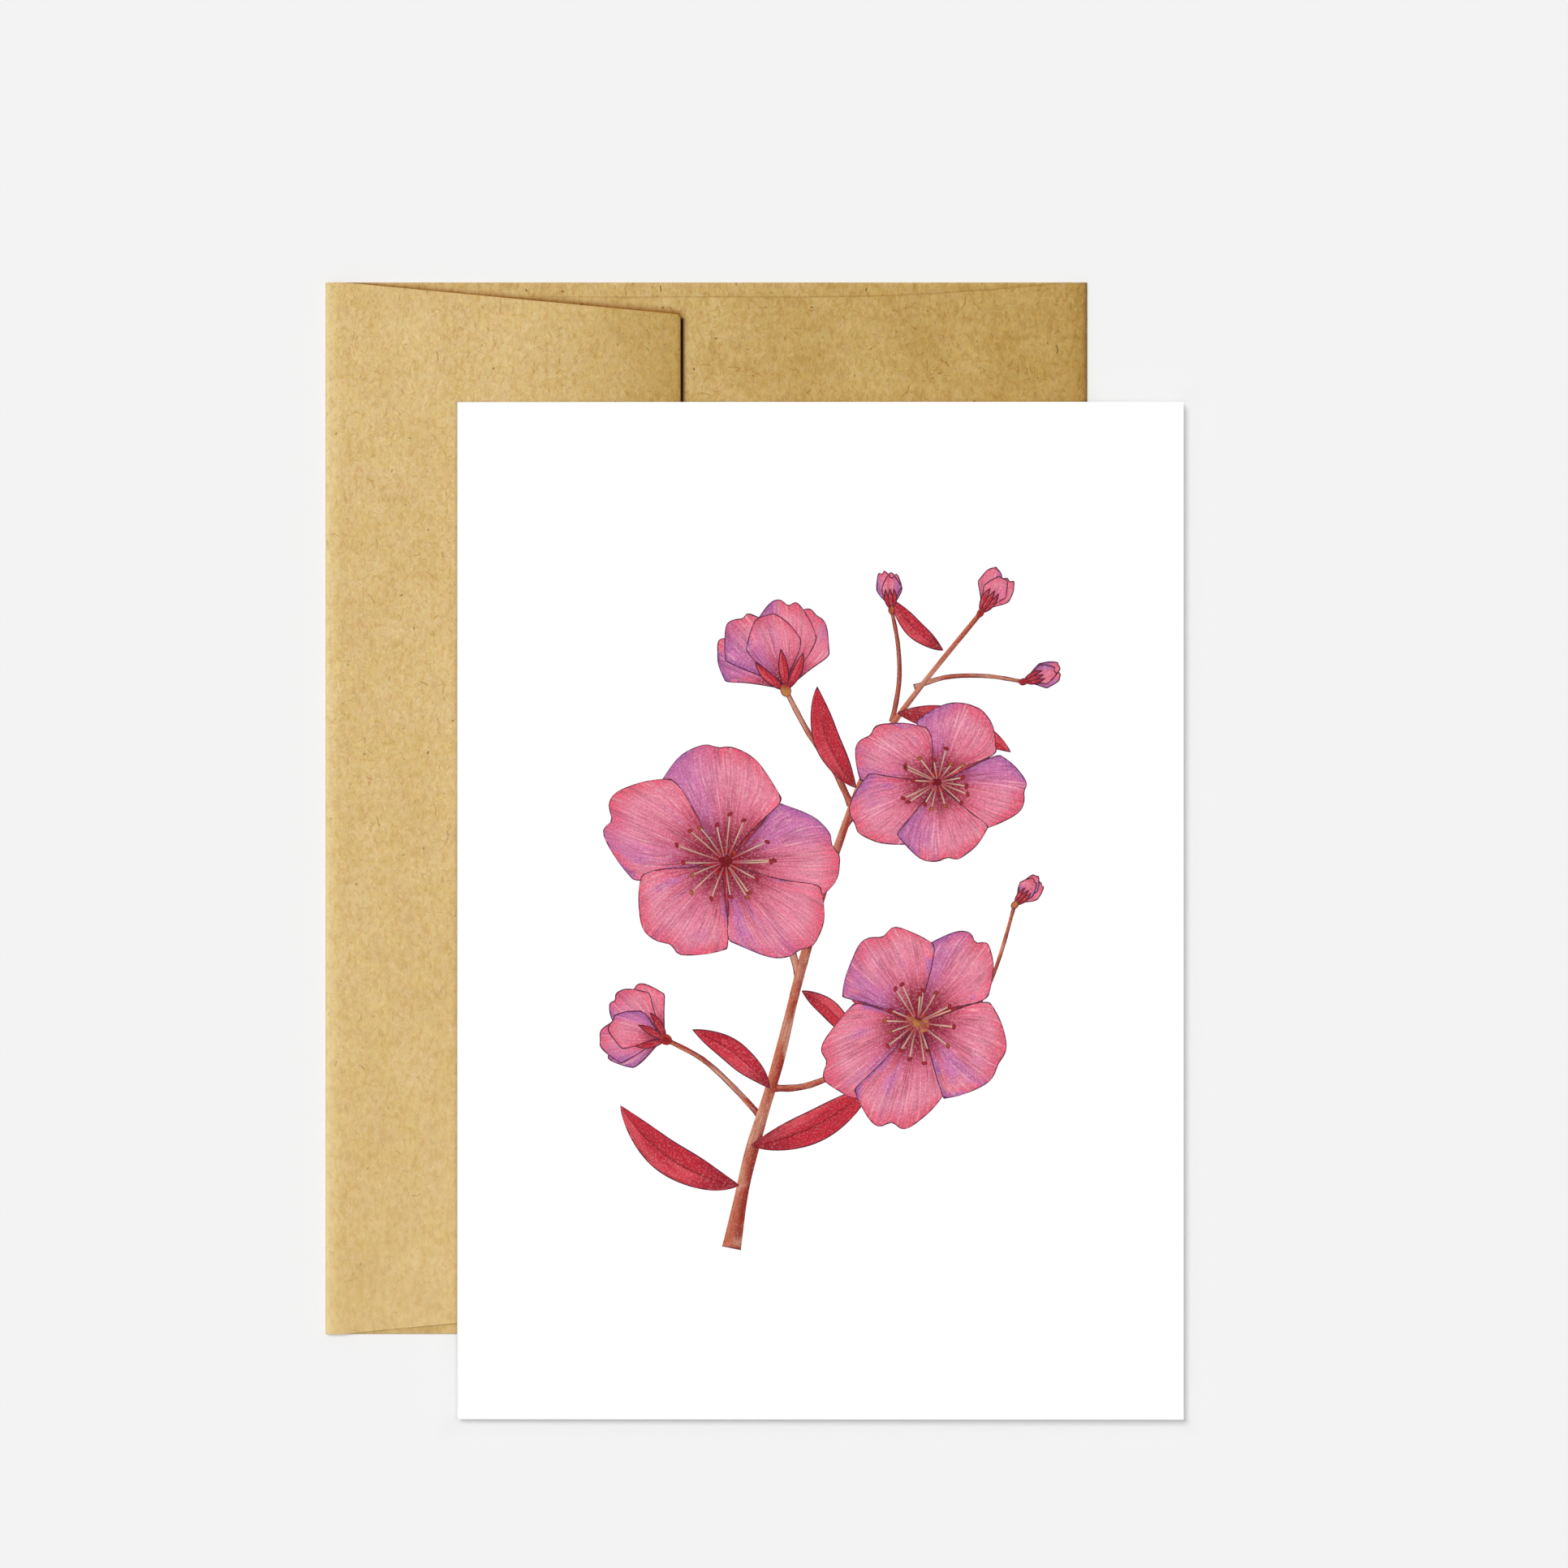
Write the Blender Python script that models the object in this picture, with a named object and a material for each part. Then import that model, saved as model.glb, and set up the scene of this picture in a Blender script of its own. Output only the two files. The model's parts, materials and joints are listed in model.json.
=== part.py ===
"""A folded greeting card lying on its kraft envelope, flap side up.

Metres, +Z up. Both lie flat, so the layers are stacked from z = 0:
envelope face panel, side flaps, back panel, seal flap, then the card.
The origin is under the middle of the outline that card and envelope
make together. The card opens about its crease, on its left side.
"""
import math

import bmesh
import bpy
from mathutils import Vector

# Card, closed
CARD_WIDTH = 0.127
CARD_HEIGHT = 0.1778
CARD_STOCK = 0.00035
CARD_FOLD_GAP = 0.0003
CARD_AJAR = math.radians(0.4)

# Envelope, closed
ENVELOPE_WIDTH = 0.13335
ENVELOPE_HEIGHT = 0.18415
PAPER = 0.00015
POCKET_GAP = 0.00015
UNDER_FLAP_GAP = 0.00035
UNDER_CARD_GAP = 0.0001
SEAM_GAP = 0.00002

# How far the card lies to the right of the envelope's middle, and below it
CARD_SHIFT_X = 0.0199
CARD_SHIFT_Y = -0.0179

# Seal flap, folded over from the left
FLAP_DEPTH = 0.0622
FLAP_TAPER = 0.0057
FLAP_SQUARE_END = 0.0029
FLAP_CORNER_RADIUS = 0.001
FLAP_CORNER_LIFT = 0.0006
FLAP_COLUMNS = 12
FLAP_ROWS = 60
CORNER_COLUMNS = 4

# Gum on the flap's inner side
GUM_WIDTH = 0.014
GUM_FROM_EDGE = 0.002
GUM_FROM_ENDS = 0.009
GUM_THICKNESS = 0.00003
GUM_COLUMNS = 4

# Back panel, folded over from the right, and the side flaps under it
THROAT_FROM_LEFT = 0.022
SEAM_INSET = 0.0026
SHOULDER_LENGTH = 0.0460
SHOULDER_FROM_RIGHT = 0.0035
SHOULDER_STEPS = 12
SIDE_FLAP_DEPTH = 0.016
SIDE_FLAP_MITRE = 0.007
SIDE_FOLD_FROM_ENDS = 0.0015
GLUE_WIDTH = 0.010
GLUE_FROM_EDGE = 0.0035
GLUE_THICKNESS = 0.00011

FOLD_STEPS = 12

# Heights of each layer's underside
SIDE_FLAP_Z = PAPER + POCKET_GAP
BACK_PANEL_Z = SIDE_FLAP_Z + PAPER + POCKET_GAP
SEAL_FLAP_Z = BACK_PANEL_Z + PAPER + UNDER_FLAP_GAP
CARD_Z = SEAL_FLAP_Z + PAPER + UNDER_CARD_GAP

# Outline of both together, centred on the origin
HALF_X = (CARD_SHIFT_X + (CARD_WIDTH + ENVELOPE_WIDTH) / 2) / 2
HALF_Y = (-CARD_SHIFT_Y + (CARD_HEIGHT + ENVELOPE_HEIGHT) / 2) / 2
ENVELOPE_LEFT = -HALF_X
ENVELOPE_RIGHT = ENVELOPE_LEFT + ENVELOPE_WIDTH
ENVELOPE_TOP = HALF_Y
ENVELOPE_BOTTOM = ENVELOPE_TOP - ENVELOPE_HEIGHT
ENVELOPE_MIDDLE_Y = (ENVELOPE_TOP + ENVELOPE_BOTTOM) / 2
CARD_RIGHT = HALF_X
CARD_LEFT = CARD_RIGHT - CARD_WIDTH
CARD_BOTTOM = -HALF_Y
CARD_TOP = CARD_BOTTOM + CARD_HEIGHT

# Outer radii of the folds, from the layers that each one wraps
SIDE_FOLD_RADIUS = (SIDE_FLAP_Z + PAPER) / 2
RIGHT_FOLD_RADIUS = (BACK_PANEL_Z + PAPER) / 2
LEFT_FOLD_RADIUS = (SEAL_FLAP_Z + PAPER) / 2
CARD_FOLD_RADIUS = CARD_STOCK + CARD_FOLD_GAP / 2

# Where the flat panels begin, clear of the folds
PANEL_LEFT = ENVELOPE_LEFT + LEFT_FOLD_RADIUS + SEAM_GAP
PANEL_RIGHT = ENVELOPE_RIGHT - RIGHT_FOLD_RADIUS - SEAM_GAP
PANEL_HALF_HEIGHT = ENVELOPE_HEIGHT / 2 - SIDE_FOLD_RADIUS - SEAM_GAP
SHOULDER_START = ENVELOPE_RIGHT - SHOULDER_FROM_RIGHT - SHOULDER_LENGTH
CARD_AXIS = Vector((CARD_LEFT + CARD_FOLD_RADIUS, 0, CARD_Z + CARD_FOLD_RADIUS))

KRAFT = (0.54, 0.37, 0.17)
CARD_WHITE = (0.90, 0.90, 0.89)
GUM = (0.58, 0.46, 0.27)
GLUE = (0.62, 0.52, 0.34)


def clear_scene():
    for thing in list(bpy.data.objects):
        bpy.data.objects.remove(thing, do_unlink=True)


def material(name, colour, roughness):
    made = bpy.data.materials.new(name)
    made.use_nodes = True
    shader = made.node_tree.nodes["Principled BSDF"]
    shader.inputs["Base Color"].default_value = (*colour, 1)
    shader.inputs["Roughness"].default_value = roughness
    shader.inputs["Metallic"].default_value = 0
    return made


def add_object(name, bm, colour, roughness=0.85, origin=Vector((0, 0, 0))):
    """Make an object of a bmesh in world coordinates, with its origin at the given point."""
    bmesh.ops.translate(bm, verts=bm.verts, vec=-origin)
    bmesh.ops.recalc_face_normals(bm, faces=bm.faces)
    mesh = bpy.data.meshes.new(name)
    bm.to_mesh(mesh)
    bm.free()
    mesh.materials.append(material(name, colour, roughness))
    thing = bpy.data.objects.new(name, mesh)
    thing.location = origin
    bpy.context.scene.collection.objects.link(thing)
    return thing


def extruded(outline, direction):
    """A closed solid: a flat outline pushed along a direction."""
    bm = bmesh.new()
    face = bm.faces.new([bm.verts.new(point) for point in outline])
    pushed = bmesh.ops.extrude_face_region(bm, geom=[face])["geom"]
    moved = [part for part in pushed if isinstance(part, bmesh.types.BMVert)]
    bmesh.ops.translate(bm, verts=moved, vec=direction)
    return bm


def flat_panel(name, outline, z, thickness, colour):
    points = [(x, y, z) for x, y in outline]
    return add_object(name, extruded(points, (0, 0, thickness)), colour)


def rectangle(left, bottom, right, top):
    return [(left, bottom), (right, bottom), (right, top), (left, top)]


def turned(radius, first, last):
    """Points (across, up) on an arc, with angles in degrees from the across direction."""
    for step in range(FOLD_STEPS + 1):
        angle = math.radians(first + (last - first) * step / FOLD_STEPS)
        yield radius * math.cos(angle), radius * math.sin(angle)


def bent_strip(name, centre, outward, length, radius, thickness, colour, last=450):
    """A folded edge: a half ring that bulges outward, along a straight length.

    centre is the end of the fold's axis, outward and length are vectors, and last is the angle
    at which the ring stops, counted through the bulge from straight down at 270 degrees.
    """
    up = Vector((0, 0, 1))
    ring = list(turned(radius, 270, last)) + list(turned(radius - thickness, last, 270))
    points = [centre + outward * across + up * height for across, height in ring]
    return add_object(name, extruded(points, length), colour)


def make_folds():
    """The bent strips along the envelope's outer edges."""
    side_start = ENVELOPE_LEFT + SIDE_FOLD_FROM_ENDS
    side_length = Vector((ENVELOPE_WIDTH - 2 * SIDE_FOLD_FROM_ENDS, 0, 0))
    tall = Vector((0, ENVELOPE_HEIGHT, 0))
    folds = {
        "envelope_left_fold": (
            Vector((ENVELOPE_LEFT + LEFT_FOLD_RADIUS, ENVELOPE_BOTTOM, LEFT_FOLD_RADIUS)),
            Vector((-1, 0, 0)), tall, LEFT_FOLD_RADIUS),
        "envelope_right_fold": (
            Vector((ENVELOPE_RIGHT - RIGHT_FOLD_RADIUS, ENVELOPE_BOTTOM, RIGHT_FOLD_RADIUS)),
            Vector((1, 0, 0)), tall, RIGHT_FOLD_RADIUS),
        "envelope_upper_fold": (
            Vector((side_start, ENVELOPE_TOP - SIDE_FOLD_RADIUS, SIDE_FOLD_RADIUS)),
            Vector((0, 1, 0)), side_length, SIDE_FOLD_RADIUS),
        "envelope_lower_fold": (
            Vector((side_start, ENVELOPE_BOTTOM + SIDE_FOLD_RADIUS, SIDE_FOLD_RADIUS)),
            Vector((0, -1, 0)), side_length, SIDE_FOLD_RADIUS),
    }
    for name, (centre, outward, length, radius) in folds.items():
        bent_strip(name, centre, outward, length, radius, PAPER, KRAFT)


def make_face_panel():
    outline = rectangle(
        PANEL_LEFT, ENVELOPE_MIDDLE_Y - PANEL_HALF_HEIGHT,
        PANEL_RIGHT, ENVELOPE_MIDDLE_Y + PANEL_HALF_HEIGHT,
    )
    flat_panel("envelope_face_panel", outline, 0, PAPER, KRAFT)


def make_side_flap(name, side):
    """side is 1 for the upper short end and -1 for the lower one."""
    left = ENVELOPE_LEFT + SIDE_FOLD_FROM_ENDS
    right = ENVELOPE_RIGHT - SIDE_FOLD_FROM_ENDS
    edge = ENVELOPE_MIDDLE_Y + side * PANEL_HALF_HEIGHT
    inner = edge - side * SIDE_FLAP_DEPTH
    outline = [
        (left, edge),
        (left + SIDE_FLAP_MITRE, inner),
        (right - SIDE_FLAP_MITRE, inner),
        (right, edge),
    ]
    flat_panel(name, outline, SIDE_FLAP_Z, PAPER, KRAFT)


def make_seam_glue(name, side):
    outer = ENVELOPE_MIDDLE_Y + side * (ENVELOPE_HEIGHT / 2 - GLUE_FROM_EDGE)
    low, high = sorted((outer, outer - side * GLUE_WIDTH))
    outline = rectangle(
        ENVELOPE_LEFT + THROAT_FROM_LEFT + GLUE_FROM_EDGE, low,
        SHOULDER_START + SHOULDER_LENGTH / 2, high,
    )
    z = BACK_PANEL_Z - (POCKET_GAP + GLUE_THICKNESS) / 2
    flat_panel(name, outline, z, GLUE_THICKNESS, GLUE)


def shoulder():
    """Points (x, distance from the short end) where the back panel widens towards its fold."""
    for step in range(SHOULDER_STEPS + 1):
        part = step / SHOULDER_STEPS
        yield SHOULDER_START + SHOULDER_LENGTH * part, SEAM_INSET * (1 - part * part)


def make_back_panel():
    """The panel folded over from the right: its short edges run inside the envelope's."""
    throat = ENVELOPE_LEFT + THROAT_FROM_LEFT
    half = ENVELOPE_HEIGHT / 2
    upper = [(throat, ENVELOPE_MIDDLE_Y + half - SEAM_INSET)]
    upper += [(x, ENVELOPE_MIDDLE_Y + half - inset) for x, inset in shoulder()]
    upper.append((PANEL_RIGHT, ENVELOPE_MIDDLE_Y + half))
    lower = [(x, 2 * ENVELOPE_MIDDLE_Y - y) for x, y in reversed(upper)]
    flat_panel("envelope_back_panel", upper + lower, BACK_PANEL_Z, PAPER, KRAFT)


def smooth(value):
    value = min(max(value, 0), 1)
    return value * value * (3 - 2 * value)


def flap_half_height(x):
    """Half the seal flap's height at x: tapered, with its corners rounded."""
    free_edge = ENVELOPE_LEFT + FLAP_DEPTH
    slope_start = ENVELOPE_LEFT + FLAP_SQUARE_END
    along = max(x - slope_start, 0) / (free_edge - slope_start)
    into_corner = max(x - (free_edge - FLAP_CORNER_RADIUS), 0)
    rounding = FLAP_CORNER_RADIUS - math.sqrt(max(FLAP_CORNER_RADIUS**2 - into_corner**2, 0))
    return ENVELOPE_HEIGHT / 2 - FLAP_TAPER * along - rounding


def flap_lift(x, y):
    """How far the flap's free upper corner, beyond the card, stands off the envelope."""
    out = (x - ENVELOPE_LEFT) / FLAP_DEPTH
    up = (y - CARD_TOP) / (ENVELOPE_TOP - FLAP_TAPER - CARD_TOP)
    return FLAP_CORNER_LIFT * smooth(out) * smooth(up)


def evenly(left, right, count):
    return [left + (right - left) * step / count for step in range(count + 1)]


def flap_columns():
    """Column positions: one at the fold, even ones along the taper, close ones in the corner."""
    turn = math.pi / 2 / CORNER_COLUMNS
    corner = ENVELOPE_LEFT + FLAP_DEPTH - FLAP_CORNER_RADIUS
    return (
        [PANEL_LEFT]
        + evenly(ENVELOPE_LEFT + FLAP_SQUARE_END, corner, FLAP_COLUMNS)
        + [corner + FLAP_CORNER_RADIUS * math.sin(turn * (i + 1)) for i in range(CORNER_COLUMNS)]
    )


def draped_sheet(columns, half_height, z, thickness):
    """A thin closed sheet whose columns run along Y and whose height follows the flap's lift."""
    bm = bmesh.new()
    bmesh.ops.create_grid(bm, x_segments=len(columns) - 1, y_segments=FLAP_ROWS, size=1)
    for vertex in bm.verts:
        x = columns[round((vertex.co.x + 1) / 2 * (len(columns) - 1))]
        y = ENVELOPE_MIDDLE_Y + vertex.co.y * half_height(x)
        vertex.co = (x, y, z + flap_lift(x, y))
    pushed = bmesh.ops.extrude_face_region(bm, geom=bm.faces[:])["geom"]
    moved = [part for part in pushed if isinstance(part, bmesh.types.BMVert)]
    bmesh.ops.translate(bm, verts=moved, vec=(0, 0, thickness))
    return bm


def make_seal_flap():
    sheet = draped_sheet(flap_columns(), flap_half_height, SEAL_FLAP_Z, PAPER)
    add_object("envelope_seal_flap", sheet, KRAFT)


def make_gum_strip():
    right = ENVELOPE_LEFT + FLAP_DEPTH - GUM_FROM_EDGE
    half = ENVELOPE_HEIGHT / 2 - GUM_FROM_ENDS
    z = SEAL_FLAP_Z - SEAM_GAP - GUM_THICKNESS
    columns = evenly(right - GUM_WIDTH, right, GUM_COLUMNS)
    sheet = draped_sheet(columns, lambda x: half, z, GUM_THICKNESS)
    add_object("envelope_gum_strip", sheet, GUM, 0.45)


def make_card():
    """The back panel lies on the envelope, the cover stands slightly ajar about the crease."""
    outline = rectangle(CARD_AXIS.x + SEAM_GAP, CARD_BOTTOM, CARD_RIGHT, CARD_TOP)
    flat_panel("card_back_panel", outline, CARD_Z, CARD_STOCK, CARD_WHITE)

    centre = Vector((CARD_AXIS.x, CARD_BOTTOM, CARD_AXIS.z))
    bent_strip(
        "card_crease", centre, Vector((-1, 0, 0)), Vector((0, CARD_HEIGHT, 0)),
        CARD_FOLD_RADIUS, CARD_STOCK, CARD_WHITE, 450 - math.degrees(CARD_AJAR),
    )

    cover_z = CARD_Z + 2 * CARD_FOLD_RADIUS - CARD_STOCK
    points = [(x, y, cover_z) for x, y in outline]
    solid = extruded(points, (0, 0, CARD_STOCK))
    cover = add_object("card_cover", solid, CARD_WHITE, origin=CARD_AXIS)
    cover.rotation_euler.y = -CARD_AJAR


def main():
    clear_scene()
    make_face_panel()
    make_folds()
    make_side_flap("envelope_upper_side_flap", 1)
    make_side_flap("envelope_lower_side_flap", -1)
    make_seam_glue("seam_glue_upper", 1)
    make_seam_glue("seam_glue_lower", -1)
    make_back_panel()
    make_seal_flap()
    make_gum_strip()
    make_card()


main()
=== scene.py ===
# A folded greeting card on its kraft envelope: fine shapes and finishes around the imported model
import json
import math
import random

import bmesh
import bpy
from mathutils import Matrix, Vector, noise
from mathutils.kdtree import KDTree


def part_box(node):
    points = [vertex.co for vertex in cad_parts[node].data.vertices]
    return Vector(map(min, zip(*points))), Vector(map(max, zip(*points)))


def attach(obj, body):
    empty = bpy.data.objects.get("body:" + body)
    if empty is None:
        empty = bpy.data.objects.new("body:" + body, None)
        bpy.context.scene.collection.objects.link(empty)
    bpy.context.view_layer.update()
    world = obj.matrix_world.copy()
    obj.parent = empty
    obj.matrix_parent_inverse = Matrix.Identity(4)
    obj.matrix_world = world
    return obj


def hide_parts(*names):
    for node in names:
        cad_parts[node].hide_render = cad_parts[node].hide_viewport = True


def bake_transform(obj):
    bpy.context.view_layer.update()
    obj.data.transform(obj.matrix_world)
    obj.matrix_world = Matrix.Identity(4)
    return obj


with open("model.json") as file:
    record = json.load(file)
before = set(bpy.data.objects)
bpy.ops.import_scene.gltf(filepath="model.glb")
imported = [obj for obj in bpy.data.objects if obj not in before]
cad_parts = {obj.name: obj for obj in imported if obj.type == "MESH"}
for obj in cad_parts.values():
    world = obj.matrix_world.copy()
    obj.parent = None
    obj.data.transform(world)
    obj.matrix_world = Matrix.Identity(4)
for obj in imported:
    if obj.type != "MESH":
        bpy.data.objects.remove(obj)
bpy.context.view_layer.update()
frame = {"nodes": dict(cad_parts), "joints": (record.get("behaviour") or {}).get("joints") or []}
mm = 0.001

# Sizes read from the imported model, in metres
faceLow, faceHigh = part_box("envelope_face_panel")
leftFoldLow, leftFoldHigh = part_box("envelope_left_fold")
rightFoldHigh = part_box("envelope_right_fold")[1]
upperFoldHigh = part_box("envelope_upper_fold")[1]
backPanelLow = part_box("envelope_back_panel")[0]
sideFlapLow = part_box("envelope_upper_side_flap")[0]
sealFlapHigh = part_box("envelope_seal_flap")[1]
cardBackLow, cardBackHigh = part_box("card_back_panel")
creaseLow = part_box("card_crease")[0]
coverLow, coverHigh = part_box("card_cover")
hinge = Vector(frame["joints"][0]["pos_m"])

paper = faceHigh.z - faceLow.z
stock = cardBackHigh.z - cardBackLow.z
cardFoldRadius = hinge.z - cardBackLow.z
openAngle = math.asin((coverHigh.z - hinge.z - cardFoldRadius) / (coverHigh.x - hinge.x))
envelopeMiddle = (leftFoldLow.y + leftFoldHigh.y) / 2
envelopeHalf = (leftFoldHigh.y - leftFoldLow.y) / 2
cardMiddle = Vector(((creaseLow.x + cardBackHigh.x) / 2, (cardBackLow.y + cardBackHigh.y) / 2))


def held(value, low=0, high=1):
    return min(max(value, low), high)


def smooth(value):
    value = held(value)
    return value * value * (3 - 2 * value)


def arrow(degrees):
    return math.cos(math.radians(degrees)), math.sin(math.radians(degrees))


def evenly(first, last, step):
    count = max(round(abs(last - first) / step), 1)
    return [first + (last - first) * i / count for i in range(count + 1)]


def joined(*runs):
    # end to end runs of numbers, each starting where the one before it ended
    line = list(runs[0])
    for run in runs[1:]:
        line += run[1:]
    return line


# Shader nodes


def addNode(tree, kind, inputs=None, **settings):
    made = tree.nodes.new("ShaderNode" + kind)
    for name, value in settings.items():
        setattr(made, name, value)
    for key, value in (inputs or {}).items():
        if isinstance(value, Value):
            tree.links.new(value.socket, made.inputs[key])
        else:
            made.inputs[key].default_value = value
    return made


def outOf(tree, kind, inputs=None, output=0, **settings):
    return Value(tree, addNode(tree, kind, inputs, **settings).outputs[output])


def filled(colour):
    # a plain colour gets its alpha, a node's stays as it is
    return colour if isinstance(colour, Value) else (*colour, 1)


class Value:
    # what a node puts out: a number, a place or a colour, to reckon with
    def __init__(self, tree, socket):
        self.tree, self.socket = tree, socket

    def maths(self, operation, *others, clamp=False):
        inputs = dict(enumerate((self, *others)))
        return outOf(self.tree, "Math", inputs, operation=operation, use_clamp=clamp)

    def __sub__(self, other):
        return self.maths("SUBTRACT", other)

    def __rsub__(self, number):
        return self.times(-1.0, number)

    def __mul__(self, other):
        return self.maths("MULTIPLY", other)

    def __truediv__(self, other):
        return self.maths("DIVIDE", other)

    def __pow__(self, other):
        return self.maths("POWER", other)

    def __abs__(self):
        return self.maths("ABSOLUTE")

    def times(self, factor, plus):
        return self.maths("MULTIPLY_ADD", factor, plus)

    def atLeast(self, other):
        return self.maths("MAXIMUM", other)

    def span(self, low, high, toLow=0.0, toHigh=1.0, kind="SMOOTHSTEP"):
        # this range becomes that one, with soft ends
        inputs = {"Value": self, "From Min": low, "From Max": high, "To Min": toLow, "To Max": toHigh}
        return outOf(self.tree, "MapRange", inputs, interpolation_type=kind)

    def straight(self, low, high, toLow=0.0, toHigh=1.0):
        return self.span(low, high, toLow, toHigh, "LINEAR")

    def mapped(self, scale=(1, 1, 1), shift=(0, 0, 0)):
        return outOf(self.tree, "Mapping", {"Vector": self, "Scale": scale, "Location": shift})

    def noise(self, scale, detail=2.0, roughness=0.5, distortion=0.0):
        inputs = {"Vector": self, "Scale": scale, "Detail": detail, "Roughness": roughness}
        inputs["Distortion"] = distortion
        return outOf(self.tree, "TexNoise", inputs, "Fac")

    def parts(self, kind="XYZ"):
        made = addNode(self.tree, "Separate" + kind, {0: self})
        return [Value(self.tree, socket) for socket in made.outputs]

    def between(self, first, second):
        # the colour this far from the first to the second
        inputs = {0: self, 6: filled(first), 7: filled(second)}
        return outOf(self.tree, "Mix", inputs, 2, data_type="RGBA")

    def mixed(self, amount, colour, blend="MIX"):
        inputs = {0: amount, 6: self, 7: filled(colour)}
        return outOf(self.tree, "Mix", inputs, 2, data_type="RGBA", blend_type=blend)

    def tinted(self, colour, amount=1.0):
        return self.mixed(amount, colour, "MULTIPLY")

    def into(self, shader, name):
        self.tree.links.new(self.socket, shader.inputs[name])


def colourOf(red, green, blue):
    return outOf(red.tree, "CombineColor", {"Red": red, "Green": green, "Blue": blue})


def newGroup(name, **inputs):
    group = bpy.data.node_groups.new(name, "ShaderNodeTree")
    for label, kind in inputs.items():
        group.interface.new_socket(name=label, in_out="INPUT", socket_type="NodeSocket" + kind)
    start = group.nodes.new("NodeGroupInput")
    return group, {label: Value(group, start.outputs[label]) for label in inputs}


def closeGroup(group, values):
    for label in values:
        group.interface.new_socket(name=label, in_out="OUTPUT", socket_type="NodeSocketFloat")
    end = group.nodes.new("NodeGroupOutput")
    for label, value in values.items():
        value.into(end, label)
    return group


def useGroup(tree, group, inputs):
    made = addNode(tree, "Group", inputs, node_tree=group)
    return {socket.name: Value(tree, socket) for socket in made.outputs}


def newMaterial(name, colour, roughness, specular):
    made = bpy.data.materials.new(name)
    made.use_nodes = True
    shader = made.node_tree.nodes["Principled BSDF"]
    shader.inputs["Base Color"].default_value = (*colour, 1)
    shader.inputs["Roughness"].default_value = roughness
    shader.inputs["Specular IOR Level"].default_value = specular
    return made, made.node_tree, shader


def addBump(shader, height, strength, distance):
    inputs = {"Height": height, "Strength": strength, "Distance": distance}
    outOf(height.tree, "Bump", inputs, "Normal").into(shader, "Normal")


def objectPlace(tree):
    # object coordinates, in millimetres
    return outOf(tree, "TexCoord", output="Object").mapped((1000, 1000, 1000))


# Finishes; lengths in them are in millimetres

kraftTones = {
    "light": (0.622, 0.440, 0.191),   # the paper's tone where the painted shade is least, towards the flap's fold
    "deep": (0.434, 0.273, 0.074),    # with the painted shade at its deepest, towards the other long edge
    "peach": (0.66, 0.405, 0.195),
    "khaki": (0.545, 0.415, 0.155),
    # how each kind of fibre tints the paper, how strongly, and how much it fades towards the lower end
    "tints": [
        ("Pale", (1.13, 1.17, 1.28), 0.72, 1.0),
        ("Fibres", (0.77, 0.61, 0.42), 0.565, 1.5),
        ("Threads", (0.61, 0.46, 0.28), 0.66, 1.6),
        ("Hairs", (0.22, 0.12, 0.05), 0.90, 2.2),
    ],
    "flapShadeRamp": (-52.0, -12.5),    # painted shade on the flap grows between these places on X
    "backShadeRamp": (-12.5, 58.0, 0.50, 0.99),   # the same painted shade on the back panel, and from how much to how much
    # less painted shade on the back panel beside the flap
    "wedgeShadeEase": (-12.5, -32.0, 0.0, 0.15),
    "calm": (-85.0, 12.0, 0.60, 1.06),          # how bold the grain is between these places on Y
    # what each unevenness of the paper does to its colour: pattern from and to, colour from and to
    "uneven": {
        "Cloud": (0.30, 0.70, 0.960, 1.040),
        "Drift": (0.30, 0.70, 0.970, 1.030),
        "Mottle": (0.28, 0.64, 0.882, 1.062),
        "Speck": (0.22, 0.64, 0.938, 1.032),
        "Warmth": (0.30, 0.70, 0.945, 1.055),
        "Tinge": (0.30, 0.70, 0.920, 1.080),
        "Blush": (0.30, 0.70, 0.974, 1.026),
    },
    # patches a little redder and a little greener: pattern from and to, and how much
    "patches": {"peach": (0.50, 0.66, 0.0, 0.26), "khaki": (0.50, 0.34, 0.0, 0.20)},
    "foldHighlight": (0.95, 0.42),            # the painted highlight along the flap's fold: half width, and how strong
    "highlightTail": (-2.0, 0.3, 0.0, 0.23),   # the painted highlight's fainter part beside it on the flap
    "highlightTone": (0.96, 0.82, 0.43),     # the painted highlight's colour on the flap's fold
    "rightFoldShade": (0.86, 0.80, 0.72),     # painted shade towards the right fold
    "turned": (0.62, 0.60, 0.60),     # painted shade, darker still, on the right fold
    "freeEdgeShade": (0.80, 0.76, 0.76),     # painted shade along the flap's free edge
    "shade": (0.50, 0.32, 0.17),      # what the shade in the gaps leaves of the paper's colour
    "contact": (0.08, 0.20, 0.50),    # the same, right beside the card
    "gap": (0.030, 0.005, 0.0005),    # painted shade: the dark of the gap beside the flap's free edge
    "roughness": 0.84,
}

fibreLayers = [
    # output, spacing, half length, half width, curl, least chance
    ("Fibres", 1.05, 0.50, 0.165, 0.50, 0.10),
    ("Fibres", 1.45, 0.70, 0.175, 0.40, 0.05),
    ("Fibres", 1.9, 0.90, 0.17, 0.34, 0.10),
    ("Fibres", 2.5, 1.20, 0.155, 0.26, 0.15),
    ("Fibres", 3.7, 1.60, 0.135, 0.18, 0.25),
    ("Threads", 5.2, 1.60, 0.165, 0.16, 0.35),
    ("Threads", 3.6, 0.85, 0.180, 0.40, 0.42),
    ("Hairs", 11.5, 1.15, 0.170, 0.16, 0.45),
    ("Hairs", 5.6, 0.38, 0.205, 0.50, 0.48),
    ("Pale", 1.3, 0.55, 0.300, 0.50, 0.10),
    ("Pale", 1.8, 0.85, 0.150, 0.60, 0.15),
]


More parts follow.
